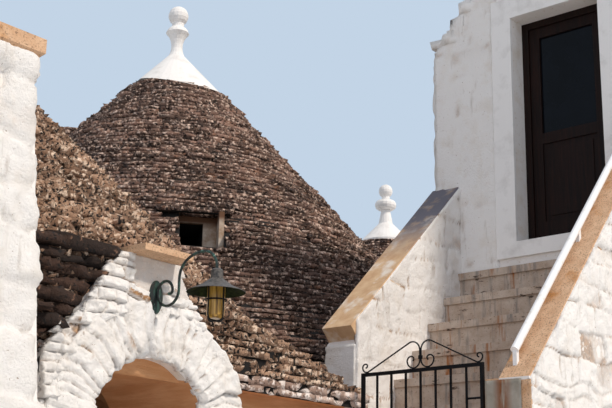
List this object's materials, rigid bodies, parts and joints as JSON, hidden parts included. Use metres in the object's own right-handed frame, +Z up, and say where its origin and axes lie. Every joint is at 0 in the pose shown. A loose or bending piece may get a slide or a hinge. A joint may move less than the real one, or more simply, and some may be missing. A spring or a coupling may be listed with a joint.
{
  "type": "trullo house",
  "caption": "Whitewashed stone house with conical drystone roofs, an arched entrance, an outside stair with an iron gate, and a gabled wing with an upper door.",
  "frame": {"origin": "on the ground, in the plane of the entrance front, under the middle of the outside stair", "axes": "-Y is the way the entrance front faces, +X is the way the stair climbs, +Z is up"},
  "size_m": [16.1244, 12.0944, 7.473],
  "materials": {
    "limewash": "matte limewash over rubble masonry",
    "drystone": "rough split limestone slabs",
    "sandstone": "weathered sawn stone",
    "white_plaster": "trowelled lime plaster",
    "dark_wood": "dark stained",
    "window_glass": "clear",
    "amber_glass": "ribbed",
    "white_paint": "gloss paint",
    "black_iron": "worn black paint",
    "green_metal": "verdigris green"
  },
  "bodies": {
    "house": {"block_back_wall": "limewash", "block_left_wall": "limewash", "block_right_wall": "limewash", "chimney_cap": "sandstone", "chimney_stack": "limewash", "door_frame": "dark_wood", "door_glass": "window_glass", "door_leaf": "dark_wood", "door_sill": "sandstone", "door_surround": "white_plaster", "front_wall_left": "limewash", "front_wall_right": "limewash", "gable_cap_stone": "sandstone", "gate_pintles": "black_iron", "handrail": "white_paint", "lamp_bracket": "green_metal", "lamp_cage": "black_iron", "lamp_globe": "amber_glass", "lamp_shade": "green_metal", "left_coping": "sandstone", "left_parapet": "limewash", "main_cap": "white_plaster", "main_pinnacle": "white_plaster", "main_roof": "drystone", "main_wall_back": "limewash", "main_wall_front": "limewash", "main_wall_left": "limewash", "main_wall_right": "limewash", "newel_block": "sandstone", "portal": "limewash", "rear_cap": "white_plaster", "rear_pinnacle": "white_plaster", "rear_roof": "drystone", "rear_wall_back": "limewash", "rear_wall_front": "limewash", "rear_wall_left": "limewash", "rear_wall_right": "limewash", "right_coping": "sandstone", "right_parapet": "limewash", "small_cap": "white_plaster", "small_pinnacle": "white_plaster", "small_roof": "drystone", "stair_body": "sandstone", "stair_treads": "sandstone", "window_lintel": "sandstone", "window_surround": "limewash", "wing_floor": "sandstone", "wing_front_base": "limewash", "wing_front_gable": "limewash", "wing_front_left": "limewash", "wing_front_right": "limewash", "wing_left_wall": "limewash", "wing_rear_wall": "limewash", "wing_right_wall": "limewash", "wing_roof_left": "drystone", "wing_roof_right": "drystone"},
    "gate": {"gate_frame": "black_iron", "gate_scrolls": "black_iron", "gate_bolt": "black_iron"}
  },
  "joints": [
    {"name": "gate_hinge", "type": "hinge", "parent": "house", "child": "gate", "pos_m": [-1.08, -0.08, 1.6], "axis": [0, 0, -1], "range_deg": [0, 90]}
  ]
}
